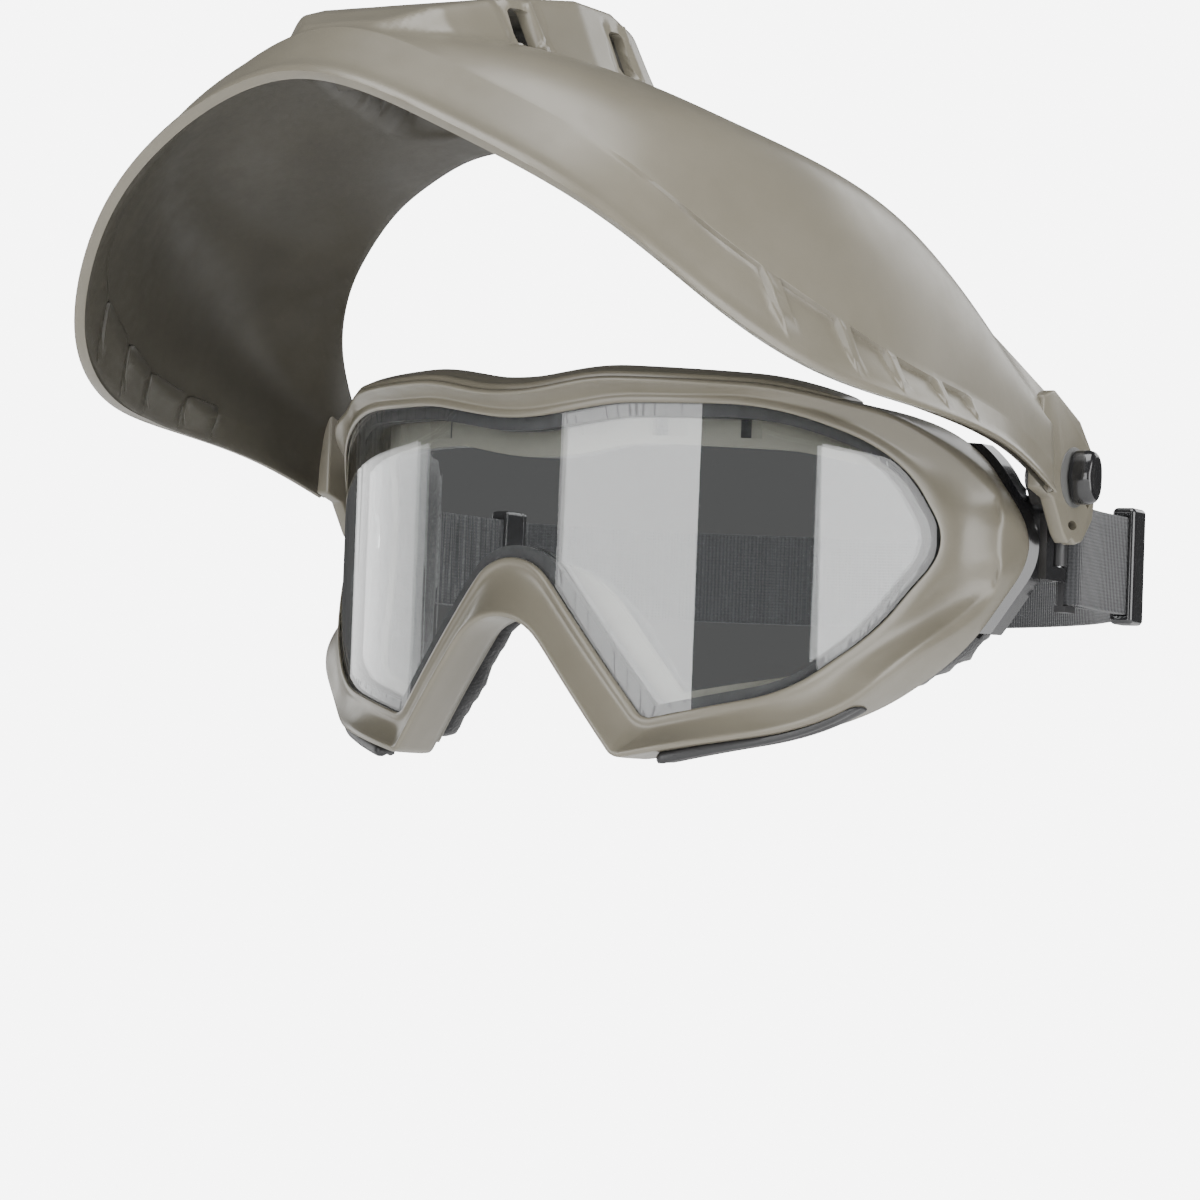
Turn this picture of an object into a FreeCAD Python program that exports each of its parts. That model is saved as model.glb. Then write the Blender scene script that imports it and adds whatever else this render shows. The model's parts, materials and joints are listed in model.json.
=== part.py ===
import FreeCAD, Part

import os
from math import sin, sqrt, tan

V = FreeCAD.Vector
X_AXIS = V(1, 0, 0)
Y_AXIS = V(0, 1, 0)
Z_AXIS = V(0, 0, 1)

# Wrap-around goggles with a flip-up guard for the lower face, in millimetres.
# +X is the wearer's left, -Y is forward, +Z is up. The lens is part of a cylinder
# about the Z axis, and z = 0 is eye level. The guard is drawn raised.

# ------------------------------------------------------------------ goggle body
LENS_R = 97.0             # outer face of the outer pane
PANE_T = 2.2
SPACER_T = 2.0            # air gap between the panes
INNER_PANE_T = 1.4
RETAINER_T = 2.4
SPACER_W = 4.0            # how far the spacer reaches in from its outer edge
RING_INSET = 0.2          # outer edge of the spacer and the retainer, in from the lens's edge
INNER_PANE_INSET = 1.0
LENS_END = 0.335          # the panes end on radial planes, where y = -LENS_END * |x|
LIP_W = 1.2               # how far the bezel laps over the lens's edge
FIT = 0.15                # gap round a part that drops into a pocket
GAP = 0.3                 # gap between parts that move or lie loosely
TALL = 90.0               # more than half of the goggles' height

# Half outlines seen from the front: (x, z, corner radius).
LENS_OUTLINE = [(0, 33.6, 60), (27, 38.2, 60), (62, 38.6, 50), (84, 28.5, 24), (91.5, 6, 22),
                (81, -17.5, 45), (66, -33.5, 30), (35, -41.6, 4.5), (0, 6, 12)]
BEZEL_OUTLINE = [(0, 38.8, 60), (24, 43.3, 60), (62, 42.6, 50), (89, 36, 22), (101.5, 8, 24),
                 (89.5, -21, 60), (72, -41, 40), (31.5, -50.4, 3.5), (0, -6, 14)]

# Half curves seen from above: (x, y).
BEZEL_FRONT = [(0, -104.5), (32.5, -98.7), (60, -81), (78, -61.5), (90, -42), (97, -25), (99.5, -12),
               (100, 0)]
FRAME_REAR = [(0, -88.5), (40, -79), (64, -61), (80, -39), (90, -25), (100.5, -10), (107, 0)]
FOAM_FRONT = [(0, -82), (30, -78), (55, -64.5), (72, -45), (84, -27), (93, -14), (102, -3)]
FACE = [(0, -72), (28, -69), (50, -58), (65, -42), (75, -24), (83, -9), (92, 3), (102, 12)]
SKIRT_EDGE = 3.2          # skirt's outer wall, in from the bezel's outline
SKIRT_T = 2.2
FOAM_W = 12.0             # width of the foam and of the flange it is glued to
VENT_X = [16.0, 34.0, 50.0]         # centres of the skirt's brow vents
VENT_W = 10.0
VENT_Z0, VENT_Z1 = 30.0, 45.0
COVER_SETBACK = 5.0       # vent covers start this far behind the bezel's front
TOP_COVER_PROUD, TOP_COVER_HALF = 3.6, 72.0
LOW_COVER_PROUD, LOW_COVER_X0, LOW_COVER_X1 = 3.4, 38.0, 76.0
VENT_R = 85.5             # the vents lie on a circle about the lens's axis

# --------------------------------------------------------------- temple bracket
BAND_PROUD, BAND_T = 1.2, 3.8       # band behind the frame: beyond the outline, and thickness
BAND_DEPTH = 6.0
BAND_Z0, BAND_Z1 = -15.0, 32.5      # the band runs along the temple between these heights
BLOCK_X0, BLOCK_X1 = 97.0, 102.6    # block that carries the boss and the clip's lugs
BLOCK_Y0, SPINE_Y1, WEB_Y1 = -9.5, -5.5, -2.0
BAND_SCREWS = [(89.6, 29.5), (92.1, -10.5)]
SCREW_R, SCREW_HEAD_R, SCREW_HEAD_T = 0.8, 1.25, 1.6
SCREW_SEAT, SCREW_LEN = 4.0, 10.5

# ----------------------------------------------------------- pivot, clip, strap
PIVOT_Y, PIVOT_Z = -9.0, 25.0
BOLT_R = 2.5
BOLT_HEAD_R, BOLT_HEAD_T = 4.4, 2.8
BOSS_R = 9.0
BOSS_X0, BOSS_X1 = 100.5, 104.0     # bracket's boss, along X
BORE_FIT = 0.08           # gap round a shaft that turns
WASHER_R, WASHER_T = 7.5, 1.1
ARM_X0, ARM_T = 105.3, 4.0          # guard's arm plate
EYE_HALF, EYE_R, EYE_Z = 1.3, 1.1, 13.0   # lengthened hole below the pivot
SLIT_R, SLIT_W = 10.7, 0.7          # curved slit behind the knob
KNOB_LOBE_R, KNOB_SPREAD, KNOB_T = 3.6, 3.2, 6.2
KNOB_CAP_T = 1.2          # closed end of the knob, over the insert
INSERT_R = 3.0

CLIP_PIN_X, CLIP_PIN_Y, CLIP_PIN_R = 101.0, 0.0, 1.2
CLIP_BAR_Y, CLIP_BAR_R = 6.0, 1.5
KNUCKLE_Z0, KNUCKLE_Z1 = 3.3, 12.7
LUG_T = 3.5               # height of each lug that holds the clip's pin
LUG_REACH = 1.75          # how far the lugs reach behind the pin
BARREL_R = 2.4
RAIL_Y0, RAIL_Y1 = 2.15, 2.6        # clip's rail, behind the pin
RAIL_HALF, NECK_HALF, CHEEK_HALF, CHEEK_T = 0.8, 1.4, 1.6, 1.6
STRAP_Z0, STRAP_W = -6.2, 25.4
STRAP_T = 1.3
STRAP_LEAN = 5.0          # degrees, the straight part of the strap leans inwards
STRAP_STRAIGHT = 52.0     # its length from the clip's bar
STRAP_TAPER = 22.0        # from the bar to where the two layers meet
FOLD_LEN, FOLD_GAP = 6.0, 0.8
SLIDER_AT, SLIDER_LEN, SLIDER_WALL = 38.0, 9.0, 2.2
# Half of the strap's line round the back of the head, seen from above: (x, y).
STRAP_REAR = [(0, 121.5), (23, 118), (45, 108.5), (66, 93), (80, 77), (89, 67), (94.6, 60), (96.9, 55.5)]

# ------------------------------------------------------------------------ guard
# Stations from the temple to the middle of the chin, on the outer face, each one
# (rim, crease, shoulder, crown, nose edge).
GUARD_T = 2.6
GUARD_STATIONS = [
    [(111, -22.6, 20), (110.8, -23.5, 27), (110, -22.5, 34), (108, -21, 40.5), (105.5, -19.5, 46)],
    [(113.5, -47, 27), (112.5, -47.5, 34.5), (110.5, -45, 45), (105, -41, 53.5), (97.5, -36, 60)],
    [(115.2, -71, 31), (112.3, -72.5, 39.5), (110, -67, 54), (101.5, -58, 67), (89, -46, 71.5)],
    [(113.5, -102, 34), (110.5, -101, 44.5), (106, -98, 66), (94, -80, 83), (79, -53, 82)],
    [(105.5, -130, 38.5), (104, -126, 53.5), (98, -121, 77), (83, -98, 93), (65, -61, 92)],
    [(91.5, -158, 52), (90, -153.5, 68.5), (81, -144, 90.5), (67, -110, 101), (50, -66.5, 99.5)],
    [(72, -177.5, 71.5), (70, -167, 86), (62, -157, 102), (51, -116, 108), (36, -71, 104)],
    [(40, -195, 91), (38, -178.5, 104), (35, -166, 113), (28, -119, 114), (20, -74, 106)],
    [(0, -200, 103.5), (0, -184, 116.5), (0, -171, 118), (0, -120, 117), (0, -75, 106.5)],
]
# Sections of the breath box on the guard's front: (y, top z, top half width, base half width).
SNOUT = [(-179, 118.5, 12, 24), (-168, 123, 20, 33), (-150, 127.5, 27, 40), (-126, 130.5, 31, 44),
         (-109, 130.3, 30.5, 44.5), (-98, 127, 30, 44), (-91, 112, 30, 43)]
SNOUT_BASE_Z = 99.0
SLOT_Y = [-147.0, -110.0]
SLOT_LEN, SLOT_Z0, SLOT_Z1 = 7.0, 112.0, 123.0


# ---------------------------------------------------------------------- helpers
def mirrored(shape):
    return shape.mirror(V(0, 0, 0), X_AXIS)


def both_sides(half):
    """A half list from the middle outwards, made whole."""
    return [(-p[0],) + tuple(p[1:]) for p in reversed(half) if p[0] > 0] + [tuple(p) for p in half]


def rounded_wire(corners):
    """A closed wire in the XZ plane: straight runs joined by tangent arcs."""
    starts, ends, mids = [], [], []
    count = len(corners)
    for i in range(count):
        trio = corners[i - 1], corners[i], corners[(i + 1) % count]
        before, here, after = (V(c[0], 0, c[1]) for c in trio)
        radius = corners[i][2]
        back = (before - here).normalize()
        ahead = (after - here).normalize()
        half = back.getAngle(ahead) / 2
        middle = (back + ahead).normalize()
        starts.append(here + back * (radius / tan(half)))
        ends.append(here + ahead * (radius / tan(half)))
        mids.append(here + middle * (radius / sin(half) - radius))
    edges = []
    for i in range(count):
        edges.append(Part.Arc(starts[i], mids[i], ends[i]).toShape())
        edges.append(Part.LineSegment(ends[i], starts[(i + 1) % count]).toShape())
    return Part.Wire(edges)


def outline_prism(half, grow=0.0):
    """The outline, grown by an offset, extruded through the goggles along Y."""
    face = Part.Face(rounded_wire(both_sides(half)))
    if grow:
        face = face.makeOffset2D(grow)
        face = Part.Face(face.OuterWire)
    face.translate(V(0, -130, 0))
    return face.extrude(V(0, 160, 0))


def behind(half):
    """Everything behind a curve seen from above, as a tall solid."""
    points = [V(x, y, -TALL) for x, y in both_sides(half)]
    curve = Part.BSplineCurve()
    curve.interpolate(points)
    first, last = points[0], points[-1]
    corner_a, corner_b = V(last.x, 60, -TALL), V(first.x, 60, -TALL)
    edges = [curve.toShape(), Part.LineSegment(last, corner_a).toShape(),
             Part.LineSegment(corner_a, corner_b).toShape(), Part.LineSegment(corner_b, first).toShape()]
    return Part.Face(Part.Wire(edges)).extrude(V(0, 0, 2 * TALL))


def cylinder(radius, length, base, axis):
    return Part.makeCylinder(radius, length, base, axis)


def drum(radius):
    """A tall cylinder about the lens's axis."""
    return cylinder(radius, 2 * TALL, V(0, 0, -TALL), Z_AXIS)


def box(x0, x1, y0, y1, z0, z1):
    return Part.makeBox(x1 - x0, y1 - y0, z1 - z0, V(x0, y0, z0))


def lens_sector():
    """The sector in front of the two radial planes on which the panes end."""
    end = 130 * LENS_END
    points = [V(0, 0, -TALL), V(130, -end, -TALL), V(130, -140, -TALL), V(-130, -140, -TALL),
              V(-130, -end, -TALL)]
    return Part.Face(Part.makePolygon(points + points[:1])).extrude(V(0, 0, 2 * TALL))


def shifted(half, dy):
    return [(x, y + dy) for x, y in half]


# ------------------------------------------------------------------ goggle body
def shell_between(outer_r, inner_r):
    return drum(outer_r).cut(drum(inner_r)).common(lens_sector())


def make_goggle_frame():
    solid = outline_prism(BEZEL_OUTLINE).common(behind(BEZEL_FRONT)).cut(behind(FRAME_REAR))
    opening = outline_prism(LENS_OUTLINE, -LIP_W)
    pocket = outline_prism(LENS_OUTLINE, FIT).common(drum(LENS_R + FIT))
    frame = solid.cut(opening).cut(pocket)
    for x, z in BAND_SCREWS:
        for side in (-1, 1):
            frame = frame.cut(cylinder(SCREW_R + 0.05, 9, V(side * x, frame_rear_y(x) - 8, z), Y_AXIS))
    return frame


def make_lens_outer():
    return outline_prism(LENS_OUTLINE).common(shell_between(LENS_R, LENS_R - PANE_T))


def lens_ring():
    """A ring just inside the lens's edge, through the goggles."""
    return outline_prism(LENS_OUTLINE, -RING_INSET).cut(outline_prism(LENS_OUTLINE, -RING_INSET - SPACER_W))


def make_lens_spacer():
    outer = LENS_R - PANE_T
    ring = lens_ring()
    return ring.common(shell_between(outer, outer - SPACER_T))


def make_lens_inner():
    outer = LENS_R - PANE_T - SPACER_T
    return outline_prism(LENS_OUTLINE, -INNER_PANE_INSET).common(shell_between(outer, outer - INNER_PANE_T))


def make_lens_retainer():
    outer = LENS_R - PANE_T - SPACER_T - INNER_PANE_T
    ring = lens_ring()
    ring = ring.common(shell_between(outer, outer - RETAINER_T))
    return ring.cut(behind(shifted(FOAM_FRONT, -SKIRT_T - GAP)))


def make_face_skirt():
    wall = outline_prism(BEZEL_OUTLINE, -SKIRT_EDGE).cut(outline_prism(BEZEL_OUTLINE, -SKIRT_EDGE - SKIRT_T))
    wall = wall.common(behind(shifted(FRAME_REAR, FIT))).cut(behind(FOAM_FRONT))
    flange = outline_prism(BEZEL_OUTLINE, -SKIRT_EDGE).cut(outline_prism(BEZEL_OUTLINE, -SKIRT_EDGE - FOAM_W))
    flange = flange.common(behind(shifted(FOAM_FRONT, -SKIRT_T))).cut(behind(FOAM_FRONT))
    flange = flange.common(behind(shifted(FRAME_REAR, FIT)))
    skirt = wall.fuse(flange)
    for x in VENT_X:
        for side in (-1, 1):
            middle, y = side * x, vent_y(x)
            skirt = skirt.cut(box(middle - VENT_W / 2, middle + VENT_W / 2, y - 2, y + 1, VENT_Z0, VENT_Z1))
    return skirt.removeSplitter()


def make_face_foam():
    ring = outline_prism(BEZEL_OUTLINE, -SKIRT_EDGE).cut(outline_prism(BEZEL_OUTLINE, -SKIRT_EDGE - FOAM_W))
    return ring.common(behind(shifted(FOAM_FRONT, 0.05))).cut(behind(FACE))


def cover_band(proud):
    """A band outside the bezel's outline, over the skirt's vents."""
    band = outline_prism(BEZEL_OUTLINE, proud).cut(outline_prism(BEZEL_OUTLINE, GAP))
    return band.common(behind(shifted(BEZEL_FRONT, COVER_SETBACK))).cut(behind(shifted(FOAM_FRONT, -1)))


def make_top_vent_cover():
    return cover_band(TOP_COVER_PROUD).common(box(-TOP_COVER_HALF, TOP_COVER_HALF, -120, 0, VENT_Z0, TALL))


def make_bottom_vent_cover():
    return cover_band(LOW_COVER_PROUD).common(box(LOW_COVER_X0, LOW_COVER_X1, -120, 0, -TALL, -20))


# ---------------------------------------------------------------- temple bracket
def frame_rear_y(x):
    """Where the frame's rear face lies along Y, at the temples."""
    (x0, y0), (x1, y1) = FRAME_REAR[4], FRAME_REAR[5]
    return y0 + (x - x0) * (y1 - y0) / (x1 - x0)


def vent_y(x):
    return -sqrt(VENT_R ** 2 - x ** 2)


def make_temple_bracket():
    ring = outline_prism(BEZEL_OUTLINE, BAND_PROUD).cut(outline_prism(BEZEL_OUTLINE, BAND_PROUD - BAND_T))
    band = ring.common(behind(shifted(FRAME_REAR, FIT))).cut(behind(shifted(FRAME_REAR, FIT + BAND_DEPTH)))
    band = band.common(box(84, 110, -60, 10, BAND_Z0, BAND_Z1))
    web = box(BLOCK_X0, BOSS_X1, BLOCK_Y0, WEB_Y1, KNUCKLE_Z1 + GAP, PIVOT_Z + BOSS_R - 1)
    boss = cylinder(BOSS_R, BOSS_X1 - BOSS_X0, V(BOSS_X0, PIVOT_Y, PIVOT_Z), X_AXIS)
    bracket = band.fuse(web).fuse(boss)
    low, high, lug_end = KNUCKLE_Z0 - GAP, KNUCKLE_Z1 + GAP, CLIP_PIN_Y + LUG_REACH
    lug_low = box(BLOCK_X0, BLOCK_X1, BLOCK_Y0, lug_end, low - LUG_T, low)
    lug_high = box(BLOCK_X0, BLOCK_X1, BLOCK_Y0, lug_end, high, high + LUG_T)
    spine = box(BLOCK_X0, BLOCK_X1, BLOCK_Y0, SPINE_Y1, low - LUG_T, high + LUG_T)
    bracket = bracket.fuse([lug_low, lug_high, spine])
    bracket = bracket.cut(cylinder(BOLT_R + 0.05, 20, V(90, PIVOT_Y, PIVOT_Z), X_AXIS))
    bracket = bracket.cut(cylinder(BOLT_HEAD_R + 0.2, 4, V(BOSS_X0 - 4, PIVOT_Y, PIVOT_Z), X_AXIS))
    bracket = bracket.cut(cylinder(CLIP_PIN_R, 30, V(CLIP_PIN_X, CLIP_PIN_Y, -8), Z_AXIS))
    for x, z in BAND_SCREWS:
        top = frame_rear_y(x) + FIT
        bracket = bracket.cut(cylinder(SCREW_R + 0.05, 12, V(x, top - 1, z), Y_AXIS))
        bracket = bracket.cut(cylinder(SCREW_HEAD_R + 0.1, 12, V(x, top + SCREW_SEAT, z), Y_AXIS))
    return bracket.removeSplitter()


def make_bracket_screws():
    screws = []
    for x, z in BAND_SCREWS:
        seat = frame_rear_y(x) + FIT + SCREW_SEAT
        shank = cylinder(SCREW_R, SCREW_LEN, V(x, seat - SCREW_LEN, z), Y_AXIS)
        screw = shank.fuse(cylinder(SCREW_HEAD_R, SCREW_HEAD_T, V(x, seat, z), Y_AXIS)).removeSplitter()
        screws += [screw, mirrored(screw)]
    return Part.makeCompound(screws)


# ------------------------------------------------------------------ pivot pieces
def make_pivot_bolt():
    head = cylinder(BOLT_HEAD_R, BOLT_HEAD_T, V(BOSS_X0 - BOLT_HEAD_T, PIVOT_Y, PIVOT_Z), X_AXIS)
    length = ARM_X0 + ARM_T + GAP + KNOB_T - 1.5 - BOSS_X0
    shank = cylinder(BOLT_R, length, V(BOSS_X0, PIVOT_Y, PIVOT_Z), X_AXIS)
    return head.fuse(shank).removeSplitter()


def make_friction_washer():
    start = BOSS_X1 + 0.1
    disc = cylinder(WASHER_R, WASHER_T, V(start, PIVOT_Y, PIVOT_Z), X_AXIS)
    return disc.cut(cylinder(BOLT_R + BORE_FIT, 4, V(start - 1, PIVOT_Y, PIVOT_Z), X_AXIS))


def make_pivot_knob():
    start = ARM_X0 + ARM_T + GAP
    knob = cylinder(INSERT_R + 1.6, KNOB_T, V(start, PIVOT_Y, PIVOT_Z), X_AXIS)
    for side in (-1, 1):
        lobe = cylinder(KNOB_LOBE_R, KNOB_T, V(start, PIVOT_Y, PIVOT_Z + side * KNOB_SPREAD), X_AXIS)
        knob = knob.fuse(lobe)
    knob = knob.removeSplitter()
    bore = cylinder(INSERT_R, KNOB_T - KNOB_CAP_T, V(start, PIVOT_Y, PIVOT_Z), X_AXIS)
    return knob.cut(bore)


def make_knob_insert():
    start = ARM_X0 + ARM_T + GAP
    sleeve = cylinder(INSERT_R, KNOB_T - KNOB_CAP_T, V(start, PIVOT_Y, PIVOT_Z), X_AXIS)
    return sleeve.cut(cylinder(BOLT_R + 0.06, KNOB_T, V(start - 0.1, PIVOT_Y, PIVOT_Z), X_AXIS))


# -------------------------------------------------------------- strap and its clip
def leaned(shape):
    """Turns the straight part of the strap inwards about the clip's bar."""
    shape.rotate(V(CLIP_PIN_X, CLIP_BAR_Y, 0), Z_AXIS, STRAP_LEAN)
    return shape


def make_strap_clip():
    z0, z1 = STRAP_Z0 - GAP, STRAP_Z0 + STRAP_W + GAP
    barrel = cylinder(BARREL_R, KNUCKLE_Z1 - KNUCKLE_Z0, V(CLIP_PIN_X, CLIP_PIN_Y, KNUCKLE_Z0), Z_AXIS)
    rail_y0, rail_y1 = CLIP_PIN_Y + RAIL_Y0, CLIP_PIN_Y + RAIL_Y1
    rail = box(CLIP_PIN_X - RAIL_HALF, CLIP_PIN_X + RAIL_HALF, rail_y0, rail_y1, z0, z1)
    neck = box(CLIP_PIN_X - NECK_HALF, CLIP_PIN_X + NECK_HALF, CLIP_PIN_Y, rail_y1, KNUCKLE_Z0, KNUCKLE_Z1)
    clip = barrel.fuse([rail, neck])
    x0, x1 = CLIP_PIN_X - CHEEK_HALF, CLIP_PIN_X + CHEEK_HALF
    for z in (z0 - CHEEK_T, z1):
        clip = clip.fuse(box(x0, x1, rail_y0 - 0.05, CLIP_BAR_Y + CLIP_BAR_R, z, z + CHEEK_T))
    clip = clip.fuse(cylinder(CLIP_BAR_R, z1 - z0 + 1, V(CLIP_PIN_X, CLIP_BAR_Y, z0 - 0.5), Z_AXIS))
    return clip.cut(cylinder(CLIP_PIN_R + 0.05, 20, V(CLIP_PIN_X, CLIP_PIN_Y, 0), Z_AXIS)).removeSplitter()


def make_clip_pin():
    z0, z1 = KNUCKLE_Z0 - GAP - LUG_T, KNUCKLE_Z1 + GAP + LUG_T
    return cylinder(CLIP_PIN_R, z1 - z0, V(CLIP_PIN_X, CLIP_PIN_Y, z0), Z_AXIS)


def strap_run():
    """The strap folded round the clip's bar, its two layers sewn flat behind it."""
    def layer(radius, taper_end, flat):
        loop = cylinder(radius, STRAP_W, V(CLIP_PIN_X, CLIP_BAR_Y, STRAP_Z0), Z_AXIS)
        points = [V(CLIP_PIN_X + x, y, STRAP_Z0) for x, y in
                  ((-radius, CLIP_BAR_Y), (-flat, taper_end), (flat, taper_end), (radius, CLIP_BAR_Y))]
        return loop.fuse(Part.Face(Part.makePolygon(points + points[:1])).extrude(V(0, 0, STRAP_W)))
    body = layer(CLIP_BAR_R + GAP + STRAP_T, CLIP_BAR_Y + STRAP_TAPER, STRAP_T)
    body = body.cut(layer(CLIP_BAR_R + GAP, CLIP_BAR_Y + STRAP_TAPER - 4, 0.15))
    tail = box(CLIP_PIN_X - STRAP_T, CLIP_PIN_X + STRAP_T, CLIP_BAR_Y + STRAP_TAPER - 1,
               CLIP_BAR_Y + STRAP_STRAIGHT, STRAP_Z0, STRAP_Z0 + STRAP_W)
    return body.fuse(tail).removeSplitter()


def make_strap_end():
    """The fold on the bar, which swings with the clip."""
    return leaned(strap_run().common(box(80, 120, -10, CLIP_BAR_Y + FOLD_LEN, -60, 60)))


def make_slider():
    x, y = CLIP_PIN_X, CLIP_BAR_Y + SLIDER_AT
    half = STRAP_T + 0.35
    z0, z1 = STRAP_Z0 - 0.35, STRAP_Z0 + STRAP_W + 0.35
    ring = box(x - half - 1.6, x + half + 1.6, y, y + SLIDER_LEN, z0 - SLIDER_WALL, z1 + SLIDER_WALL)
    ring = ring.makeFillet(1.4, ring.Edges)
    return leaned(ring.cut(box(x - half, x + half, y - 1, y + SLIDER_LEN + 1, z0, z1)))


def rear_half(offset):
    """The space inside the rear of the strap, its line moved outwards by an offset."""
    line = [V(x, y, STRAP_Z0) for x, y in both_sides(STRAP_REAR)]
    points = []
    for i, point in enumerate(line):
        along = line[min(i + 1, len(line) - 1)] - line[max(i - 1, 0)]
        points.append(point - V(along.y, -along.x, 0).normalize() * offset)
    curve = Part.BSplineCurve()
    curve.interpolate(points)
    edges = [curve.toShape(), Part.LineSegment(points[-1], points[0]).toShape()]
    return Part.Face(Part.Wire(edges)).extrude(V(0, 0, STRAP_W))


def make_strap():
    """Both straight runs and the rear of the strap, round the back of the head."""
    rear = rear_half(STRAP_T / 2).cut(rear_half(-STRAP_T / 2))
    run = leaned(strap_run().common(box(80, 120, CLIP_BAR_Y + FOLD_LEN + FOLD_GAP, 90, -60, 60)))
    return rear.fuse([run, mirrored(run)]).removeSplitter()


# ------------------------------------------------------------------------- guard
def guard_normals(stations):
    """Inward normals at every point of the guard's grid of stations."""
    rows = []
    for i, row in enumerate(stations):
        ahead, back = stations[min(i + 1, len(stations) - 1)], stations[max(i - 1, 0)]
        normals = []
        for j in range(len(row)):
            along = V(*ahead[j]) - V(*back[j])
            across = V(*row[min(j + 1, len(row) - 1)]) - V(*row[max(j - 1, 0)])
            normals.append(along.cross(across).normalize())
        rows.append(normals)
    return rows


def smooth_wire(points):
    curve = Part.BSplineCurve()
    curve.interpolate(points)
    return Part.Wire(curve.toShape())


def make_guard_band():
    """The guard's wall: skins lofted across long curves that run from arm to arm."""
    stations = both_guard_sides()
    normals = guard_normals(stations)
    outer = [[V(*p) for p in row] for row in stations]
    inner = [[p + n * GUARD_T for p, n in zip(row, normal)] for row, normal in zip(outer, normals)]
    out_curves = [smooth_wire([row[j] for row in outer]) for j in range(5)]
    in_curves = [smooth_wire([row[j] for row in inner]) for j in range(5)]
    skins = [Part.makeLoft(curves, False, ruled).Faces[0] for curves, ruled in
             ((out_curves[:2], True), (out_curves[1:], False), (in_curves[:2], True), (in_curves[1:], False))]
    faces = skins + Part.makeLoft([out_curves[0], in_curves[0]], False, True).Faces
    faces += Part.makeLoft([out_curves[4], in_curves[4]], False, True).Faces
    for side in (-1, 1):
        ends = [max(face.Edges, key=lambda edge: side * edge.CenterOfMass.x) for face in skins]
        faces += [Part.makeRuledSurface(ends[0], ends[2]), Part.makeRuledSurface(ends[1], ends[3])]
    shell = Part.Shell(faces)
    shell.sewShape()
    return Part.Solid(shell)


def both_guard_sides():
    half = GUARD_STATIONS
    return half + [[(-x, y, z) for x, y, z in row] for row in reversed(half[:-1])]


def make_arm():
    """Flat plate at the temple, round the pivot, with a notched tip."""
    profile = [(-27, 44), (-20.5, 46), (-6, 39.5), (1.5, 32), (4, 24), (2.5, 15), (-3, 9.2),
               (-7, 8.2), (-9, 9.6), (-11, 8.2), (-14, 10.5), (-20, 19), (-27, 21)]
    points = [V(ARM_X0, y, z) for y, z in profile]
    plate = Part.Face(Part.makePolygon(points + points[:1])).extrude(V(ARM_T, 0, 0))
    x0, x1 = ARM_X0 - 1, ARM_X0 + ARM_T + 1
    eye = box(x0, x1, PIVOT_Y - EYE_HALF, PIVOT_Y + EYE_HALF, EYE_Z - EYE_R, EYE_Z + EYE_R)
    for y in (PIVOT_Y - EYE_HALF, PIVOT_Y + EYE_HALF):
        eye = eye.fuse(cylinder(EYE_R, x1 - x0, V(x0, y, EYE_Z), X_AXIS))
    slit = cylinder(SLIT_R + SLIT_W, x1 - x0, V(x0, PIVOT_Y, PIVOT_Z), X_AXIS)
    slit = slit.cut(cylinder(SLIT_R, x1 - x0, V(x0, PIVOT_Y, PIVOT_Z), X_AXIS))
    slit = slit.common(box(x0, x1, PIVOT_Y + 6.5, PIVOT_Y + 14, PIVOT_Z - 9, PIVOT_Z + 9))
    return plate.cut(eye.removeSplitter()).cut(slit)


def snout_loft(shrink, base_z):
    wires = []
    for y, top, half_top, half_base in SNOUT:
        z = top - shrink
        a, b = half_top - shrink * 0.8, half_base - shrink * 1.2
        points = [V(-b, y, base_z), V(-a, y, z), V(a, y, z), V(b, y, base_z)]
        wires.append(Part.makePolygon(points + points[:1]))
    return Part.makeLoft(wires, True, True)


def make_guard_shell():
    """One half with its arm and half the breath box, then both halves joined."""
    left = box(0, 130, -210, 30, -20, 140)
    under_box = box(-60, 60, -190, -90, 60, 106)
    hollow = snout_loft(GUARD_T, SNOUT_BASE_Z - 12)
    hollow = hollow.common(box(-60, 60, SNOUT[0][0] + 6, SNOUT[-1][0] - 4, 80, 140))
    half = make_guard_band().common(left).fuse(make_arm())
    half = half.fuse(snout_loft(0, SNOUT_BASE_Z).cut(under_box).common(left)).cut(hollow)
    for y in SLOT_Y:
        half = half.cut(box(24, 52, y - SLOT_LEN / 2, y + SLOT_LEN / 2, SLOT_Z0, SLOT_Z1))
    half = half.cut(cylinder(BOLT_R + BORE_FIT, 30, V(95, PIVOT_Y, PIVOT_Z), X_AXIS))
    half = half.cut(box(90, ARM_X0, -17, 10, 0, 45))
    return half.fuse(mirrored(half)).removeSplitter()


def make_breath_baffle():
    """Two V-shaped gutters inside the breath box, one behind each pair of slots."""
    gutters = []
    for y, half in zip(SLOT_Y, (23.0, 27.0)):
        points = [V(-half, y - 8, 120), V(-half, y, 110), V(-half, y + 8, 120), V(-half, y + 8, 118.3),
                  V(-half, y, 108.2), V(-half, y - 8, 118.3)]
        gutters.append(Part.Face(Part.makePolygon(points + points[:1])).extrude(V(2 * half, 0, 0)))
    bridge = box(-1.5, 1.5, SLOT_Y[0], SLOT_Y[1], 109.5, 111.5)
    return gutters[0].fuse([gutters[1], bridge]).removeSplitter()


# -------------------------------------------------------------------------- build
def export(name, shape):
    print(name, shape.ShapeType, "solids", len(shape.Solids), "valid", shape.isValid(), round(shape.Volume))
    shape.exportStep("parts/%s.step" % name)


def export_pair(name, shape):
    export(name + "_left", shape)
    export(name + "_right", mirrored(shape))


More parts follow.
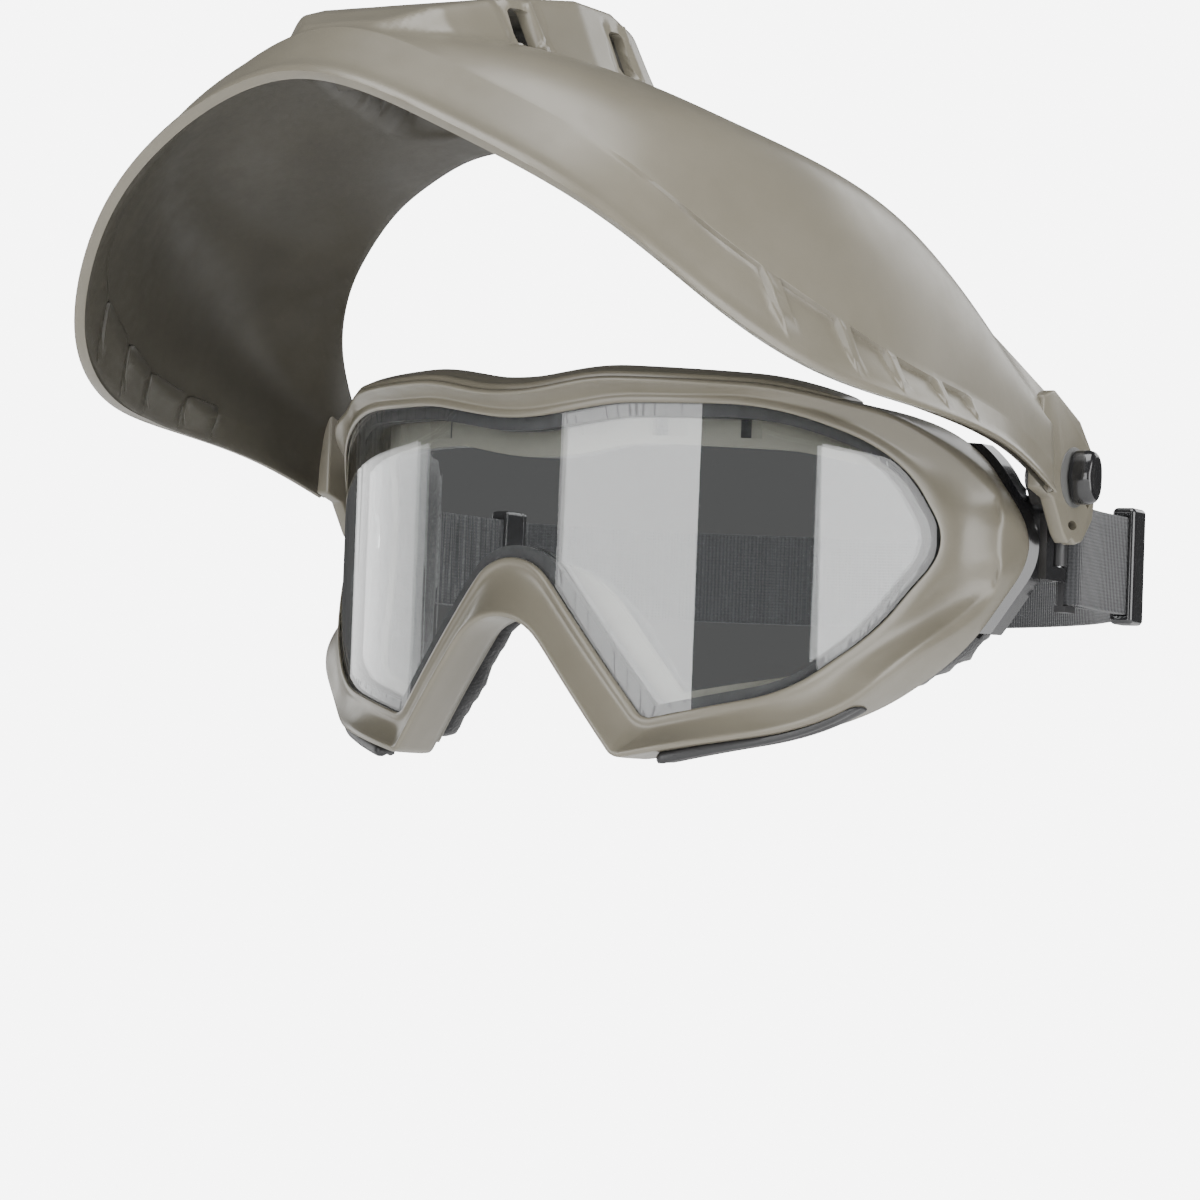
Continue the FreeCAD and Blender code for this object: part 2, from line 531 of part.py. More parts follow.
def main():
    os.makedirs("parts", exist_ok=True)
    export("goggle_frame", make_goggle_frame())
    export("lens_outer", make_lens_outer())
    export("lens_spacer", make_lens_spacer())
    export("lens_inner", make_lens_inner())
    export("lens_retainer", make_lens_retainer())
    export("face_skirt", make_face_skirt())
    export("face_foam", make_face_foam())
    export("top_vent_cover", make_top_vent_cover())
    export_pair("bottom_vent_cover", make_bottom_vent_cover())
    export_pair("temple_bracket", make_temple_bracket())
    export("bracket_screws", make_bracket_screws())
    export_pair("pivot_bolt", make_pivot_bolt())
    export_pair("friction_washer", make_friction_washer())
    export_pair("pivot_knob", make_pivot_knob())
    export_pair("knob_insert", make_knob_insert())
    export_pair("strap_clip", make_strap_clip())
    export_pair("clip_pin", make_clip_pin())
    export_pair("strap_end", make_strap_end())
    export_pair("slider", make_slider())
    export("strap", make_strap())
    export("guard_shell", make_guard_shell())
    export("breath_baffle", make_breath_baffle())


main()
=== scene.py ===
import bmesh
import bpy
import json
from math import atan2, cos, pi, radians, sin, sqrt, tan

import numpy as np
from mathutils import Matrix, Vector

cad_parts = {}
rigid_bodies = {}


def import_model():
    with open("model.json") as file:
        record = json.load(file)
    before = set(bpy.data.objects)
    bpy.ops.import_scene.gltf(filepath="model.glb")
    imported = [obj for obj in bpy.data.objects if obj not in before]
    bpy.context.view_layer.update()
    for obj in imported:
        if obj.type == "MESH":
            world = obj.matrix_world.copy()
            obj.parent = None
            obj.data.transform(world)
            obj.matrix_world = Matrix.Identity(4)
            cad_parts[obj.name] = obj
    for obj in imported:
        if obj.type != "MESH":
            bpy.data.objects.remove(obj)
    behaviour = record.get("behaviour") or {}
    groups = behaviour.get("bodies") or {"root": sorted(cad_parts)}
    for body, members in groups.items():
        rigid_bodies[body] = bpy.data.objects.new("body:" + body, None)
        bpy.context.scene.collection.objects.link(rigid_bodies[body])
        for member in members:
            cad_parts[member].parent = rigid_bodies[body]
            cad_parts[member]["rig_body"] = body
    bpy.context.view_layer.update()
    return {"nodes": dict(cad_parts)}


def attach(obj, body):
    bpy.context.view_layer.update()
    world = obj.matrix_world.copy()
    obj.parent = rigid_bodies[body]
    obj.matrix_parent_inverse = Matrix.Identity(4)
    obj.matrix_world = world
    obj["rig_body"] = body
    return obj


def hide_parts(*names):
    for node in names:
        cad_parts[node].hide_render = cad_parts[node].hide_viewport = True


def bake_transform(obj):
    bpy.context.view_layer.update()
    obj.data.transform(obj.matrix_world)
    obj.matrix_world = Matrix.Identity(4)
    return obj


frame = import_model()

bl_info = {
    "name": "Wrap-around Goggles",
    "version": (1, 0, 0),
    "blender": (4, 5, 0),
    "location": "3D View > Sidebar > Goggles",
    "description": "Makes wrap-around goggles with a flip-up guard for the lower face",
    "category": "Add Mesh",
}

MM = 0.001
SIDES = (("left", 1), ("right", -1))

# Half outlines of the lens and the bezel, from the front: (x, z, corner radius), in mm.
LENS_OUTLINE = [(0, 33.6, 60), (27, 38.2, 60), (62, 38.6, 50), (84, 28.5, 24), (91.5, 6, 22),
                (81, -17.5, 45), (66, -33.5, 30), (35, -41.6, 4.5), (0, 6, 12)]
BEZEL_OUTLINE = [(0, 38.8, 60), (24, 43.3, 60), (62, 42.6, 50), (89, 36, 22), (101.5, 8, 24),
                 (89.5, -21, 60), (72, -41, 40), (31.5, -50.4, 3.5), (0, -6, 14)]
# Half curves from above: (x, y), in mm.
BEZEL_FRONT = [(0, -104.5), (32.5, -98.7), (60, -81), (78, -61.5), (90, -42), (97, -25),
               (99.5, -12), (100, 0)]
FRAME_REAR = [(0, -88.5), (40, -79), (64, -61), (80, -39), (90, -25), (100.5, -10), (107, 0)]
LENS_R, PANE_T, AIR_GAP, INNER_T = 97.0, 2.2, 2.0, 1.4

# The guard's outer face: stations from the temple to the middle of the chin, each one
# (rim, crease, shoulder, crown, nose edge), in mm.
GUARD_STATIONS = [
    [(111, -22.6, 20), (110.8, -23.5, 27), (110, -22.5, 34), (108, -21, 40.5), (105.5, -19.5, 46)],
    [(113.5, -47, 27), (112.5, -47.5, 34.5), (110.5, -45, 45), (105, -41, 53.5), (97.5, -36, 60)],
    [(115.2, -71, 31), (112.3, -72.5, 39.5), (110, -67, 54), (101.5, -58, 67), (89, -46, 71.5)],
    [(113.5, -102, 34), (110.5, -101, 44.5), (106, -98, 66), (94, -80, 83), (79, -53, 82)],
    [(105.5, -130, 38.5), (104, -126, 53.5), (98, -121, 77), (83, -98, 93), (65, -61, 92)],
    [(91.5, -158, 52), (90, -153.5, 68.5), (81, -144, 90.5), (67, -110, 101), (50, -66.5, 99.5)],
    [(72, -177.5, 71.5), (70, -167, 86), (62, -157, 102), (51, -116, 108), (36, -71, 104)],
    [(40, -195, 91), (38, -178.5, 104), (35, -166, 113), (28, -119, 114), (20, -74, 106)],
    [(0, -200, 103.5), (0, -184, 116.5), (0, -171, 118), (0, -120, 117), (0, -75, 106.5)],
]
# The breath box: (y, top z, top half width, base half width), in mm.
SNOUT = [(-183, 113, 10, 22), (-179, 118, 12, 24), (-168, 123, 20, 33), (-150, 127.5, 27, 40),
         (-126, 130.5, 31, 44), (-109, 130.3, 30.5, 44.5), (-99, 127.5, 30, 44), (-95, 122, 30, 43.5),
         (-91, 112, 30, 43), (-88, 104, 30, 42)]
SNOUT_BASE = 99.0
SLOT_Y = (-147.0, -110.0)
# Recessed panels under the guard's crease, each from its far side to its near side, in stations.
PANELS = [(6.30, 4.67), (4.50, 3.96), (3.80, 3.33), (3.17, 2.61), (2.46, 2.06)]
RIB = (-0.060, -0.046, -0.018, -0.004)     # a rib's foot and top edges, from its panel's near side
PANEL_LEAN = [(0, 0), (2.06, 0.03), (2.6, 0.08), (3.3, 0.17), (3.96, 0.24), (4.67, 0.24), (5.6, 0.1),
              (6.2, 0)]
# A breath slot's box: across the guard, ahead of and behind its place in SLOT_Y, and up.
SLOT_X, SLOT_REACH, SLOT_Z, SLOT_ROUNDING = (24, 52), (-4.2, 1.4), (113.5, 125), 1.2
# The swells along a slot: where each starts and ends, and how far it lifts the wall.
SLOT_LIPS = ((-6.6, -4.2, -0.7), (1.6, 3.6, 1.1), (4.0, 5.6, -0.8))
# The guard's arm from the side, as (y, z).
ARM_OUTLINE = [(-27, 44), (-20.5, 46), (-6, 39.5), (1.5, 32), (4, 24), (2.5, 15), (-3, 9.2),
               (-7, 8.2), (-9, 9.6), (-11, 8.2), (-14, 10.5), (-20, 19), (-27, 21)]

PIVOT = (-9.0, 25.0)          # y and z of the pivot, in mm
ARM_X, ARM_T = 105.3, 4.0
CLIP = (101.0, 6.0)           # x and y of the bar the strap is folded round, in mm
BAR_R = 1.5
STRAP_LEAN = radians(5)
# Half of the strap's line round the back of the head, from above: (x, y), in mm.
STRAP_REAR = [(94.6, 60), (89, 67), (80, 77), (66, 93), (45, 108.5), (23, 118), (0, 121.5)]


# ------------------------------------------------------------------------- curves
def spline(knots, values, at):
    """A natural cubic through the values at the knots, read at the places in at."""
    knots, values, at = (np.asarray(a, float) for a in (knots, values, at))
    count, step = len(knots), np.diff(knots)
    system, right = np.eye(count), np.zeros_like(values)
    for i in range(1, count - 1):
        system[i, i - 1:i + 2] = step[i - 1], 2 * (step[i - 1] + step[i]), step[i]
        right[i] = 6 * ((values[i + 1] - values[i]) / step[i] - (values[i] - values[i - 1]) / step[i - 1])
    bend = np.linalg.solve(system, right.reshape(count, -1)).reshape(values.shape)
    i = np.clip(np.searchsorted(knots, at, side="right") - 1, 0, count - 2)
    shape = (-1,) + (1,) * (values.ndim - 1)
    h = step[i].reshape(shape)
    a = (knots[i + 1] - at).reshape(shape) / h
    b = 1 - a
    curve = (a ** 3 - a) * bend[i] + (b ** 3 - b) * bend[i + 1]
    return a * values[i] + b * values[i + 1] + curve * h ** 2 / 6


def read(half_curve, x):
    """A half curve from above, read at the distance of x from the middle."""
    xs, ys = zip(*half_curve)
    return float(spline(xs, ys, [min(abs(x), xs[-1])])[0])


def chord_knots(points):
    gaps = np.linalg.norm(np.diff(np.asarray(points, float), axis=0), axis=-1)
    if gaps.ndim > 1:
        gaps = gaps.mean(axis=1)
    return np.concatenate([[0.0], np.cumsum(gaps)])


def both_sides(half):
    return [(-p[0],) + tuple(p[1:]) for p in reversed(half) if p[0] > 0] + [tuple(p) for p in half]


def outline(half, arc_steps=8, run_steps=5):
    """Points and outward normals (x, z) round an outline whose corners are arcs."""
    corners = both_sides(half)
    count, points = len(corners), []
    arcs = []
    for i in range(count):
        before, here, after = (Vector(corners[k % count][:2]) for k in (i - 1, i, i + 1))
        radius = corners[i][2]
        back, ahead = (before - here).normalized(), (after - here).normalized()
        turn = back.angle(ahead) / 2
        middle = here + (back + ahead).normalized() * (radius / sin(turn))
        start, end = here + back * (radius / tan(turn)), here + ahead * (radius / tan(turn))
        first, last = (start - middle), (end - middle)
        sweep = atan2(first.x * last.y - first.y * last.x, first.dot(last))
        arc = []
        for k in range(arc_steps + 1):
            arm = first.copy()
            arm.rotate(Matrix.Rotation(sweep * k / arc_steps, 2))
            arc.append(middle + arm)
        arcs.append(arc)
    for i in range(count):
        points += arcs[i]
        gap = arcs[(i + 1) % count][0] - arcs[i][-1]
        points += [arcs[i][-1] + gap * k / run_steps for k in range(1, run_steps)]
    points = np.array([tuple(p) for p in points])
    along = np.roll(points, -1, axis=0) - np.roll(points, 1, axis=0)
    normals = np.stack([along[:, 1], -along[:, 0]], axis=1)
    normals /= np.linalg.norm(normals, axis=1)[:, None]
    if (normals * points).sum() < 0:
        normals = -normals
    return points, normals


# ------------------------------------------------------------------------- meshes
def grid_mesh(table, wrap=False, uv=None):
    """A bmesh grid laid on a table of points (rows by columns), in mm."""
    table = np.asarray(table, float)
    rows, columns = table.shape[:2]
    bm = bmesh.new()
    bmesh.ops.create_grid(bm, x_segments=columns - 1, y_segments=rows - 1, size=1)
    place = {}
    for vert in bm.verts:
        j = round((vert.co.x + 1) / 2 * (columns - 1))
        i = round((vert.co.y + 1) / 2 * (rows - 1))
        place[vert] = i, j
    if uv is not None:
        layer = bm.loops.layers.uv.new("cloth")
        for face in bm.faces:
            for loop in face.loops:
                loop[layer].uv = uv[place[loop.vert]]
    for vert, (i, j) in place.items():
        vert.co = Vector(table[i, j]) * MM
    if wrap:
        bmesh.ops.remove_doubles(bm, verts=bm.verts[:], dist=1e-6)
    return bm


def closed_mesh(rings):
    """Rings that close on themselves, joined into a shell, its two ends filled."""
    bm = grid_mesh([list(ring) + [ring[0]] for ring in rings], wrap=True)
    open_edges = [edge for edge in bm.edges if edge.is_boundary]
    if open_edges:
        bmesh.ops.holes_fill(bm, edges=open_edges)
    bmesh.ops.recalc_face_normals(bm, faces=bm.faces[:])
    return bm


def ring_mesh(loops):
    """Loops round a ring (each one full), the last loop joined back to the first."""
    loops = [list(loop) + [loop[0]] for loop in loops]
    bm = grid_mesh(loops + [loops[0]], wrap=True)
    bmesh.ops.recalc_face_normals(bm, faces=bm.faces[:])
    return bm


def bevel(bm, edges, width, segments=3):
    bmesh.ops.bevel(bm, geom=edges, offset=width * MM, segments=segments, profile=0.5,
                    affect="EDGES", material=-1, clamp_overlap=True)


def sharp_edges(bm, angle=30):
    return [e for e in bm.edges if e.is_manifold and e.calc_face_angle(0) > radians(angle)]


def prism(profile, x0, x1, width=0.6):
    """A plate: a profile of (y, z) points extruded along X, its edges rounded."""
    bm = bmesh.new()
    face = bm.faces.new([bm.verts.new((x0 * MM, y * MM, z * MM)) for y, z in profile])
    out = bmesh.ops.extrude_face_region(bm, geom=[face])
    bmesh.ops.translate(bm, verts=[g for g in out["geom"] if isinstance(g, bmesh.types.BMVert)],
                        vec=((x1 - x0) * MM, 0, 0))
    bmesh.ops.recalc_face_normals(bm, faces=bm.faces[:])
    if width:
        bevel(bm, sharp_edges(bm), width)
    return bm


def box_mesh(low, high, width=0.4):
    bm = bmesh.new()
    bmesh.ops.create_cube(bm, size=1)
    low, high = Vector(map(min, low, high)), Vector(map(max, low, high))
    bmesh.ops.scale(bm, verts=bm.verts[:], vec=(high - low) * MM)
    bmesh.ops.translate(bm, verts=bm.verts[:], vec=(low + high) / 2 * MM)
    if width:
        bevel(bm, bm.edges[:], width)
    return bm


def oval(x0, x1, y, z, half_y, half_z, width=0.0):
    """An upright oval plug along X, its outer rim rounded."""
    bm = bmesh.new()
    bmesh.ops.create_cone(bm, cap_ends=True, segments=48, radius1=MM, radius2=MM, depth=(x1 - x0) * MM,
                          matrix=Matrix.Rotation(pi / 2, 4, "Y"))
    bmesh.ops.scale(bm, verts=bm.verts[:], vec=(1, half_y, half_z))
    bmesh.ops.translate(bm, verts=bm.verts[:], vec=Vector(((x0 + x1) / 2, y, z)) * MM)
    if width:
        bevel(bm, sharp_edges(bm, 60), width, 2)
    return bm


def ring_sector(x0, x1, y, z, inner, outer, start, end):
    """A curved bar along X: part of a ring, spun about the pivot's axis."""
    bm = bmesh.new()
    corners = [(x0, inner), (x1, inner), (x1, outer), (x0, outer)]
    face = bm.faces.new([bm.verts.new(Vector((x, y + radius * cos(start), z + radius * sin(start))) * MM)
                         for x, radius in corners])
    bmesh.ops.spin(bm, geom=[face] + face.edges[:] + face.verts[:],
                   cent=Vector((0, y, z)) * MM, axis=(1, 0, 0),
                   angle=end - start, steps=16, use_duplicate=False)
    bmesh.ops.recalc_face_normals(bm, faces=bm.faces[:])
    return bm


def hidden_object(bm):
    mesh = bpy.data.meshes.new("cutter")
    bm.to_mesh(mesh)
    bm.free()
    made = bpy.data.objects.new("cutter", mesh)
    bpy.context.scene.collection.objects.link(made)
    made.hide_render = True
    return made


def cuts_from(cutters, solver):
    """A boolean modifier for each hidden cutter."""
    return [("BOOLEAN", {"operation": "DIFFERENCE", "solver": solver, "object": cutter})
            for cutter in cutters]


def remove_cutters(cutters):
    for cutter in cutters:
        bpy.data.objects.remove(cutter)


def mirror_x(bm):
    """The same shape on the other side."""
    bmesh.ops.scale(bm, verts=bm.verts[:], vec=(-1, 1, 1))
    bmesh.ops.reverse_faces(bm, faces=bm.faces[:])
    return bm


def piece(name, bm, body, materials, stands_for=(), modifiers=(), sharp=40):
    """Turns a bmesh into a finished piece that rides on a body."""
    mesh = bpy.data.meshes.new(name)
    bm.to_mesh(mesh)
    bm.free()
    made = bpy.data.objects.new(name, mesh)
    bpy.context.scene.collection.objects.link(made)
    for finish in materials:
        mesh.materials.append(finish)
    for kind, settings in modifiers:
        modifier = made.modifiers.new(kind.title(), kind)
        for key, value in settings.items():
            setattr(modifier, key, value)
    if modifiers:
        graph = bpy.context.evaluated_depsgraph_get()
        made.data = bpy.data.meshes.new_from_object(made.evaluated_get(graph), depsgraph=graph)
        made.modifiers.clear()
    made.data.shade_smooth()
    if sharp:
        made.data.set_sharp_from_angle(angle=radians(sharp))
    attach(made, body)
    if stands_for:
        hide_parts(*stands_for)
    return made


def subsurf(levels=1):
    return "SUBSURF", {"levels": levels, "render_levels": levels}


def finish_node(name, material):
    """Gives a carried-over node its material."""
    node = frame["nodes"][name]
    node.data.materials.clear()
    node.data.materials.append(material)


# ---------------------------------------------------------------------- materials
class Nodes:
    """Short words for building a material's node tree."""

    def __init__(self, name):
        self.material = bpy.data.materials.new(name + "_finish")
        self.material.use_nodes = True
        self.tree = self.material.node_tree
        self.shader = self.tree.nodes["Principled BSDF"]
        self.output = self.tree.nodes["Material Output"]
        self.place = self.add("ShaderNodeTexCoord").outputs["Object"]

    def add(self, kind, **settings):
        node = self.tree.nodes.new(kind)
        for key, value in settings.items():
            setattr(node, key, value)
        return node

    def link(self, source, target):
        self.tree.links.new(source, target)

    def noise(self, scale, detail=4.0, rough=0.55, place=None):
        node = self.add("ShaderNodeTexNoise")
        node.inputs["Scale"].default_value = scale
        node.inputs["Detail"].default_value = detail
        node.inputs["Roughness"].default_value = rough
        self.link(place or self.place, node.inputs["Vector"])
        return node.outputs["Fac"]

    def spread(self, source, low, high, start=0.35, end=0.65):
        """Maps a pattern's middle part to a range."""
        node = self.add("ShaderNodeMapRange")
        for key, value in (("From Min", start), ("From Max", end), ("To Min", low), ("To Max", high)):
            node.inputs[key].default_value = value
        self.link(source, node.inputs["Value"])
        return node.outputs["Result"]

    def blend(self, fac, first, second):
        node = self.add("ShaderNodeMix", data_type="RGBA")
        self.link(fac, node.inputs["Factor"])
        node.inputs[6].default_value = (*first, 1)
        node.inputs[7].default_value = (*second, 1)
        return node.outputs[2]

    def math(self, how, a, b):
        node = self.add("ShaderNodeMath", operation=how)
        for socket, value in zip(node.inputs, (a, b)):
            if isinstance(value, (int, float)):
                socket.default_value = value
            else:
                self.link(value, socket)
        return node.outputs[0]

    def bump(self, height, strength, distance):
        node = self.add("ShaderNodeBump")
        node.inputs["Strength"].default_value = strength
        node.inputs["Distance"].default_value = distance
        self.link(height, node.inputs["Height"])
        self.link(node.outputs["Normal"], self.shader.inputs["Normal"])

    def set(self, **values):
        for key, value in values.items():
            self.shader.inputs[key.replace("_", " ").title().replace("Ior", "IOR")].default_value = value


def tinted(colour, share):
    return tuple(min(1.0, c * share) for c in colour)


def moulded(name, colour, rough, grain=900, depth=0.00006, wear=0.08, strength=0.35):
    """Moulded plastic or rubber: fine grain, soft changes of tone and of gloss."""
    n = Nodes(name)
    tone = n.spread(n.noise(38, 5), 0.0, 1.0)
    n.link(n.blend(tone, tinted(colour, 1 - wear), tinted(colour, 1 + wear)), n.shader.inputs["Base Color"])
    n.link(n.spread(n.noise(120, 6, 0.7), rough[0], rough[1]), n.shader.inputs["Roughness"])
    n.bump(n.noise(grain, 3), strength, depth)
    return n


def make_finishes(looks):
    """Every finish of the goggles, by name."""
    tan = tuple(looks.shell_colour)
    finishes = {}
    shell = moulded("tan_shell", tan, (0.28, 0.38), grain=1500, depth=0.00004, wear=0.05, strength=0.22)
    shell.set(coat_weight=0.15, coat_roughness=0.25)
    finishes["tan_shell"] = shell.material
    # The shell colour at a third of its brightness: painted shade for the guard's inner face and the breath
    # baffle, which are the same plastic as the shell.
    inner = moulded("tan_inner", tinted(tan, 0.34), (0.34, 0.46), grain=1500, depth=0.00004, wear=0.08)
    finishes["tan_inner"] = inner.material
    finishes["black_rubber"] = moulded("black_rubber", (0.02, 0.02, 0.021), (0.5, 0.65)).material
    finishes["skirt_rubber"] = moulded("skirt_rubber", (0.15, 0.142, 0.118), (0.46, 0.6)).material
    finishes["dark_plastic"] = moulded("dark_plastic", (0.022, 0.022, 0.023), (0.36, 0.5)).material
    gloss = moulded("gloss_black", (0.012, 0.012, 0.013), (0.14, 0.24), depth=0.00002, wear=0.15)
    gloss.set(coat_weight=0.5, coat_roughness=0.08)
    finishes["gloss_black"] = gloss.material
    steel = moulded("steel", (0.56, 0.56, 0.57), (0.24, 0.38), grain=2200, depth=0.00002)
    steel.set(metallic=1.0)
    finishes["steel"] = steel.material
    # Dark grey for the disc round each pivot: painted shade of the recess round the knob.
    finishes["painted_shade_grey"] = moulded("painted_shade_grey", (0.10, 0.10, 0.097), (0.3, 0.4)).material
    brass = moulded("brass", (0.75, 0.58, 0.28), (0.26, 0.38), grain=2200, depth=0.00002)
    brass.set(metallic=1.0)
    finishes["brass"] = brass.material
    finishes["washer_nylon"] = moulded("washer_nylon", (0.72, 0.71, 0.66), (0.38, 0.5)).material

    foam = Nodes("face_foam")
    pores = foam.add("ShaderNodeTexVoronoi")
    pores.inputs["Scale"].default_value = 950
    foam.link(foam.place, pores.inputs["Vector"])
    dark = foam.spread(foam.noise(60, 5), 0.0, 1.0)
    foam.link(foam.blend(dark, (0.022, 0.022, 0.023), (0.04, 0.04, 0.041)), foam.shader.inputs["Base Color"])
    foam.set(roughness=0.95, sheen_weight=0.25, sheen_roughness=0.5)
    foam.bump(foam.math("ADD", pores.outputs["Distance"], foam.noise(1800, 3)), 0.55, 0.0004)
    finishes["face_foam"] = foam.material

    for name, tint, shine in (("clear_lens", (0.96, 0.97, 0.97), 0.0),
                              ("clear_inner", (0.96, 0.97, 0.97), 0.004)):
        glass = Nodes(name)
        glass.set(transmission_weight=1.0, base_color=(*tint, 1), ior=1.5)
        glass.link(glass.spread(glass.noise(25, 3), shine, shine + 0.006), glass.shader.inputs["Roughness"])
        clear = glass.add("ShaderNodeBsdfTransparent")
        clear.inputs["Color"].default_value = (*tint, 1)
        shadow = glass.add("ShaderNodeLightPath").outputs["Is Shadow Ray"]
        mix = glass.add("ShaderNodeMixShader")
        glass.link(shadow, mix.inputs["Fac"])
        glass.link(glass.shader.outputs[0], mix.inputs[1])
        glass.link(clear.outputs[0], mix.inputs[2])
        glass.link(mix.outputs[0], glass.output.inputs["Surface"])
        finishes[name] = glass.material

    web = Nodes("strap_webbing")
    flat = web.add("ShaderNodeUVMap", uv_map="cloth").outputs["UV"]
    split = web.add("ShaderNodeSeparateXYZ")
    web.link(flat, split.inputs[0])
    ribs = web.math("SINE", web.math("MULTIPLY", split.outputs["X"], 2 * pi / 1.05), 0)
    cords = web.math("SINE", web.math("MULTIPLY", split.outputs["Y"], 2 * pi / 0.85), 0)
    weave = web.math("ADD", web.math("MULTIPLY", ribs, 0.65), web.math("MULTIPLY", cords, 0.35))
    fuzz = web.noise(2500, 3)
    tone = web.spread(web.math("ADD", web.math("MULTIPLY", weave, 0.3), fuzz), 0.0, 1.0, 0.1, 0.95)
    web.link(web.blend(tone, (0.014, 0.0145, 0.016), (0.046, 0.047, 0.050)), web.shader.inputs["Base Color"])
    web.set(roughness=0.85, sheen_weight=0.3, sheen_roughness=0.4)
    web.bump(web.math("ADD", weave, fuzz), 0.6, 0.00018)
    finishes["strap_webbing"] = web.material
    return finishes


FINISHES = {}


def look(name):
    """A finish of the goggles, all of them made at the first call."""
    if not FINISHES:
        FINISHES.update(make_finishes(bpy.context.scene.goggles_looks))
    return FINISHES[name]


# -------------------------------------------------------------------------- guard
def smooth_max(a, b, soft):
    """The larger of two heights, their meeting filleted."""
    mix = np.clip(0.5 + (a - b) / (2 * soft), 0, 1)
    return b + (a - b) * mix + soft * mix * (1 - mix)


def snout_height(x, y):
    """Top of the breath box above (x, y)."""
    ys, tops, half_tops, half_bases = (np.array(c, float) for c in zip(*SNOUT))
    at = np.clip(y, ys[0], ys[-1])
    top = np.interp(at, ys, tops)
    half_top, half_base = np.interp(at, ys, half_tops), np.interp(at, ys, half_bases)
    slope = (top - SNOUT_BASE) / (half_base - half_top)
    flank = SNOUT_BASE + slope * (half_base - np.abs(x))
    beyond = np.maximum(0, ys[0] - y) + np.maximum(0, y - ys[-1])
    return -smooth_max(-top, -flank, 3.0) - 3 * beyond


def guard_lines():
    """Where the guard's grid has its lines: along it, and across it."""
    edges = [near + step for _, near in PANELS for step in (*RIB, 0.012)]
    edges += [far + step for far, _ in PANELS[1:] for step in (-0.010, 0.004)]
    even = np.concatenate([np.linspace(0, 6.1, 74)[:-1], np.linspace(6.1, 6.6, 10)[:-1],
                           np.linspace(6.6, 7.45, 40)[:-1], np.linspace(7.45, 8, 13)])
    kept = [u for u in even if all(abs(u - edge) > 0.02 for edge in edges)]
    dense = np.array(sorted(kept + edges))
    along = np.concatenate([dense, 16 - dense[::-1][1:]])
    across = np.concatenate([[0, 0.05, 0.1, 0.16, 0.23, 0.32, 0.45, 0.6, 0.75, 0.88, 0.955, 0.985],
                             np.linspace(1, 2, 14)[:-1], np.linspace(2, 3.1, 52)[:-1],
                             np.linspace(3.1, 3.6, 22)[:-1], np.linspace(3.6, 4, 9)])
    return along, across


def panel_recess(along, across):
    """How deep the panels lie at each line along the guard's rim band, less the ribs between them."""
    place = np.minimum(along, 16 - along)
    inside, rib = np.zeros(len(place)), np.zeros(len(place))
    for far, near in PANELS:
        inside = np.maximum(inside, (place < far) & (place > near + 0.006))
        rib = np.maximum(rib, (place > near + RIB[1] - 0.001) & (place < near + RIB[2] + 0.001))
    inside *= np.clip((PANELS[0][0] - place) / 1.1, 0, 1)
    fade = np.clip((across - 0.36) / 0.5, 0, 1) * (across < 0.97)
    rib_fade = np.clip((across - 0.28) / 0.1, 0, 1) * np.clip((0.99 - across) / 0.1, 0, 1)
    return np.outer(fade, inside * 1.2) - np.outer(rib_fade, rib * 0.5)


def guard_table(sizes):
    """Points of the guard's outer face, with its rim bead, panels and breath box."""
    full = GUARD_STATIONS + [[(-x, y, z) for x, y, z in row] for row in reversed(GUARD_STATIONS[:-1])]
    stations = np.array(full, float)
    knots = chord_knots(stations)
    along, across = guard_lines()

    def long_curves(stations_at):
        return np.moveaxis(spline(knots, stations,
                                  np.interp(stations_at, np.arange(len(knots)), knots)), 1, 0)

    cross = long_curves(along)
    cross_knots = chord_knots(cross[1:])
    smooth = across >= 1
    at = np.interp(across[smooth] - 1, np.arange(4), cross_knots)
    crown = spline(cross_knots, cross[1:], at)
    rim = []
    lean = np.interp(np.minimum(along, 16 - along), *zip(*PANEL_LEAN)) * np.where(along > 8, -1, 1)
    for share in across[~smooth]:
        curves = long_curves(along - lean * (1 - share) / 0.68)
        rim.append(curves[0] * (1 - share) + curves[1] * share)
    table = np.concatenate([rim, crown])
    x, y, z = table[..., 0], table[..., 1], table[..., 2]
    raised = smooth_max(z, snout_height(x, y), 3.5)
    table[..., 2] = np.where(np.abs(x) < 60, raised, z)
    bead = sizes.rim_bead / MM * np.exp(-((across - 0.1) / 0.11) ** 2)
    return table + grid_normals(table) * (bead[:, None, None] - panel_recess(along, across)[..., None])


def grid_normals(table):
    """Outward normals of the guard's grid."""
    down, over = np.gradient(table, axis=0), np.gradient(table, axis=1)
    normals = np.cross(down, over)
    normals /= np.linalg.norm(normals, axis=-1)[..., None]
    middle = normals[normals.shape[0] // 2, normals.shape[1] // 2]
    return normals if middle[2] > 0 else -normals


